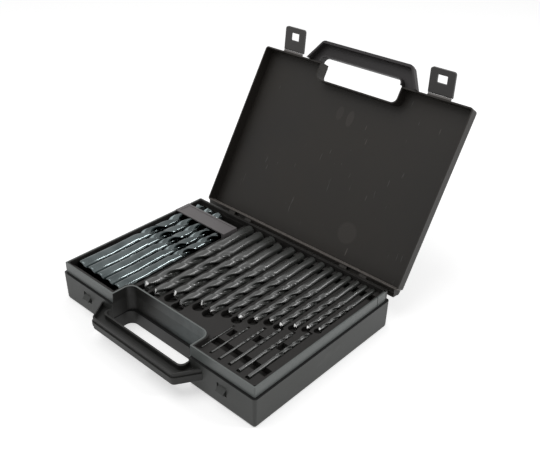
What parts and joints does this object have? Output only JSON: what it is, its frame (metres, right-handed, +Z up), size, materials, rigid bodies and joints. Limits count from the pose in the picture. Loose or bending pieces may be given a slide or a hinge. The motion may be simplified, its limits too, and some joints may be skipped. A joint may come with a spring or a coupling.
{
  "type": "drill bit case",
  "caption": "Hinged flat carrying case with a handle, latch tabs and a slotted tray that holds a graded set of twist drills.",
  "frame": {"origin": "centre of the base's flat underside", "axes": "+X along the front edge to the right as seen from the handle, +Y from the handle to the hinges, +Z up"},
  "size_m": [0.24, 0.3034, 0.2018],
  "materials": {
    "case_plastic": "fine-grained dark charcoal moulded plastic",
    "tray_plastic": "smooth dark grey moulded plastic",
    "bar_plastic": "smooth mid grey moulded plastic",
    "latch_plastic": "smooth flexible dark plastic",
    "pin_steel": "plain drawn steel",
    "drill_steel": "dark steam-treated high speed steel with ground cutting edges"
  },
  "bodies": {
    "base": {"base_shell": "case_plastic", "insert_tray": "tray_plastic", "drill_tub": "tray_plastic", "retaining_bar": "bar_plastic", "hinge_pin_left": "pin_steel", "hinge_pin_right": "pin_steel"},
    "lid": {"lid_shell": "case_plastic"},
    "tab_left": {"latch_tab_left": "latch_plastic"},
    "tab_right": {"latch_tab_right": "latch_plastic"},
    "drill_13mm": {"drill_13mm": "drill_steel"},
    "drill_12_5mm": {"drill_12_5mm": "drill_steel"},
    "drill_12mm": {"drill_12mm": "drill_steel"},
    "drill_11_5mm": {"drill_11_5mm": "drill_steel"},
    "drill_11mm": {"drill_11mm": "drill_steel"},
    "drill_10_5mm": {"drill_10_5mm": "drill_steel"},
    "drill_10mm": {"drill_10mm": "drill_steel"},
    "drill_9_5mm": {"drill_9_5mm": "drill_steel"},
    "drill_9mm": {"drill_9mm": "drill_steel"},
    "drill_8_5mm": {"drill_8_5mm": "drill_steel"},
    "drill_8mm": {"drill_8mm": "drill_steel"},
    "drill_7_5mm": {"drill_7_5mm": "drill_steel"},
    "drill_7mm": {"drill_7mm": "drill_steel"},
    "drill_6_5mm": {"drill_6_5mm": "drill_steel"},
    "drill_6mm": {"drill_6mm": "drill_steel"},
    "drill_5_5mm": {"drill_5_5mm": "drill_steel"},
    "drill_5mm": {"drill_5mm": "drill_steel"},
    "drill_4_5mm": {"drill_4_5mm": "drill_steel"},
    "drill_4mm": {"drill_4mm": "drill_steel"},
    "drill_1mm": {"drill_1mm": "drill_steel"},
    "drill_1_5mm": {"drill_1_5mm": "drill_steel"},
    "drill_2mm": {"drill_2mm": "drill_steel"},
    "drill_2_5mm": {"drill_2_5mm": "drill_steel"},
    "drill_3mm": {"drill_3mm": "drill_steel"},
    "drill_3_5mm": {"drill_3_5mm": "drill_steel"}
  },
  "joints": [
    {"name": "lid_hinge", "type": "hinge", "parent": "base", "child": "lid", "pos_m": [0, 0.091, 0.0277], "axis": [-1, 0, 0], "range_deg": [-121.6, 0]},
    {"name": "tab_left_flex", "type": "hinge", "parent": "lid", "child": "tab_left", "pos_m": [-0.085, 0.18705, 0.17924], "axis": [1, 0, 0], "range_deg": [-44, 64]},
    {"name": "tab_right_flex", "type": "hinge", "parent": "lid", "child": "tab_right", "pos_m": [0.085, 0.18705, 0.17924], "axis": [1, 0, 0], "range_deg": [-48, 60]},
    {"name": "drill_13mm_tilt", "type": "hinge", "parent": "base", "child": "drill_13mm", "pos_m": [-0.1087, 0.0475, 0.0386], "axis": [-1, 0, 0], "range_deg": [0, 12]},
    {"name": "drill_12_5mm_tilt", "type": "hinge", "parent": "base", "child": "drill_12_5mm", "pos_m": [-0.09505, 0.0475, 0.0386], "axis": [-1, 0, 0], "range_deg": [0, 12]},
    {"name": "drill_12mm_tilt", "type": "hinge", "parent": "base", "child": "drill_12mm", "pos_m": [-0.0819, 0.0475, 0.0386], "axis": [-1, 0, 0], "range_deg": [0, 12]},
    {"name": "drill_11_5mm_tilt", "type": "hinge", "parent": "base", "child": "drill_11_5mm", "pos_m": [-0.06925, 0.0475, 0.0386], "axis": [-1, 0, 0], "range_deg": [0, 12]},
    {"name": "drill_11mm_tilt", "type": "hinge", "parent": "base", "child": "drill_11mm", "pos_m": [-0.0571, 0.0475, 0.0386], "axis": [-1, 0, 0], "range_deg": [0, 12]},
    {"name": "drill_10_5mm_lift", "type": "slide", "parent": "base", "child": "drill_10_5mm", "axis": [0, 0, 1], "range_m": [0, 0.06]},
    {"name": "drill_10mm_lift", "type": "slide", "parent": "base", "child": "drill_10mm", "axis": [0, 0, 1], "range_m": [0, 0.06]},
    {"name": "drill_9_5mm_lift", "type": "slide", "parent": "base", "child": "drill_9_5mm", "axis": [0, 0, 1], "range_m": [0, 0.06]},
    {"name": "drill_9mm_lift", "type": "slide", "parent": "base", "child": "drill_9mm", "axis": [0, 0, 1], "range_m": [0, 0.06]},
    {"name": "drill_8_5mm_lift", "type": "slide", "parent": "base", "child": "drill_8_5mm", "axis": [0, 0, 1], "range_m": [0, 0.06]},
    {"name": "drill_8mm_lift", "type": "slide", "parent": "base", "child": "drill_8mm", "axis": [0, 0, 1], "range_m": [0, 0.06]},
    {"name": "drill_7_5mm_lift", "type": "slide", "parent": "base", "child": "drill_7_5mm", "axis": [0, 0, 1], "range_m": [0, 0.06]},
    {"name": "drill_7mm_lift", "type": "slide", "parent": "base", "child": "drill_7mm", "axis": [0, 0, 1], "range_m": [0, 0.06]},
    {"name": "drill_6_5mm_lift", "type": "slide", "parent": "base", "child": "drill_6_5mm", "axis": [0, 0, 1], "range_m": [0, 0.06]},
    {"name": "drill_6mm_lift", "type": "slide", "parent": "base", "child": "drill_6mm", "axis": [0, 0, 1], "range_m": [0, 0.06]},
    {"name": "drill_5_5mm_lift", "type": "slide", "parent": "base", "child": "drill_5_5mm", "axis": [0, 0, 1], "range_m": [0, 0.06]},
    {"name": "drill_5mm_lift", "type": "slide", "parent": "base", "child": "drill_5mm", "axis": [0, 0, 1], "range_m": [0, 0.06]},
    {"name": "drill_4_5mm_lift", "type": "slide", "parent": "base", "child": "drill_4_5mm", "axis": [0, 0, 1], "range_m": [0, 0.06]},
    {"name": "drill_4mm_lift", "type": "slide", "parent": "base", "child": "drill_4mm", "axis": [0, 0, 1], "range_m": [0, 0.06]},
    {"name": "drill_1mm_lift", "type": "slide", "parent": "base", "child": "drill_1mm", "axis": [0, 0, 1], "range_m": [0, 0.06]},
    {"name": "drill_1_5mm_lift", "type": "slide", "parent": "base", "child": "drill_1_5mm", "axis": [0, 0, 1], "range_m": [0, 0.06]},
    {"name": "drill_2mm_lift", "type": "slide", "parent": "base", "child": "drill_2mm", "axis": [0, 0, 1], "range_m": [0, 0.06]},
    {"name": "drill_2_5mm_lift", "type": "slide", "parent": "base", "child": "drill_2_5mm", "axis": [0, 0, 1], "range_m": [0, 0.06]},
    {"name": "drill_3mm_lift", "type": "slide", "parent": "base", "child": "drill_3mm", "axis": [0, 0, 1], "range_m": [0, 0.06]},
    {"name": "drill_3_5mm_lift", "type": "slide", "parent": "base", "child": "drill_3_5mm", "axis": [0, 0, 1], "range_m": [0, 0.06]}
  ]
}
